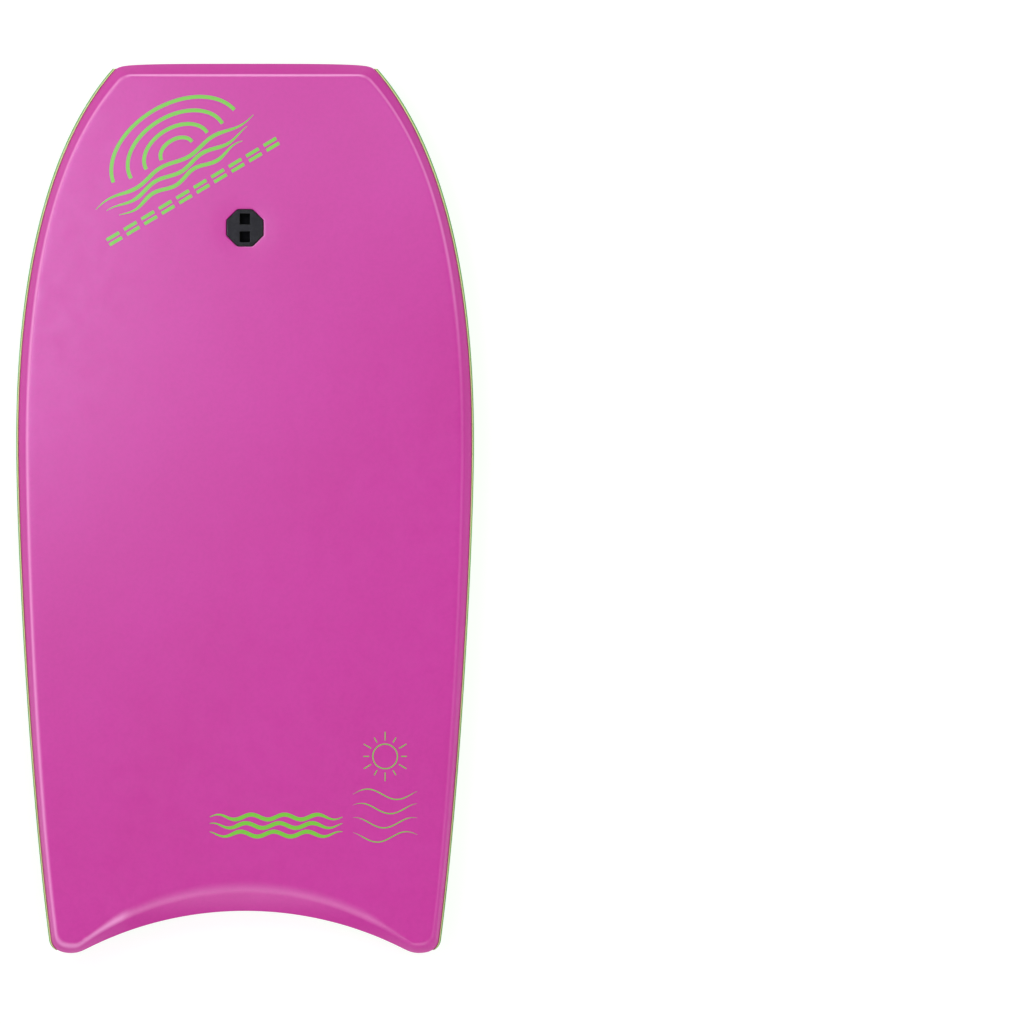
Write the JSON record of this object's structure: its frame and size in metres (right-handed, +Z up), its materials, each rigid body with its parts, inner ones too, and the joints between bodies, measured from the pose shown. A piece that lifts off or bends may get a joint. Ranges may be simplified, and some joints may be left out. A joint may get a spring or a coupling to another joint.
{
  "type": "bodyboard",
  "caption": "Foam bodyboard with a hard slick, crescent tail, tail channels and a screw-together leash plug through the nose end.",
  "frame": {"origin": "on the ground under the middle of the board's bounding box, with the board lying on its slick", "axes": "+Y towards the nose, +Z up out of the deck, +X towards the right rail seen from above with the nose up"},
  "size_m": [0.4842, 0.94, 0.0503],
  "materials": {
    "core_foam": "matte",
    "deck_foam": "satin",
    "slick": "satin",
    "rail_foam": "satin",
    "plug": "satin"
  },
  "bodies": {
    "board": {"foam_core": "core_foam", "deck_skin": "deck_foam", "slick_skin": "slick", "rail_strip_left": "rail_foam", "rail_strip_right": "rail_foam"},
    "plug_screw": {"leash_plug_screw": "plug"},
    "plug_deck_half": {"leash_plug_deck_half": "plug"}
  },
  "joints": [
    {"name": "deck_half_lift", "type": "slide", "parent": "board", "child": "plug_deck_half", "axis": [0, 0, 1], "range_m": [0, 0.0125]},
    {"name": "screw_turn", "type": "hinge", "parent": "board", "child": "plug_screw", "pos_m": [0, 0.296, 0.003], "axis": [0, 0, -1], "range_deg": [0, 1800]}
  ],
  "couplings": [
    {"joint": "screw_turn", "follows": "deck_half_lift", "rad_per_m": 2513.3}
  ]
}
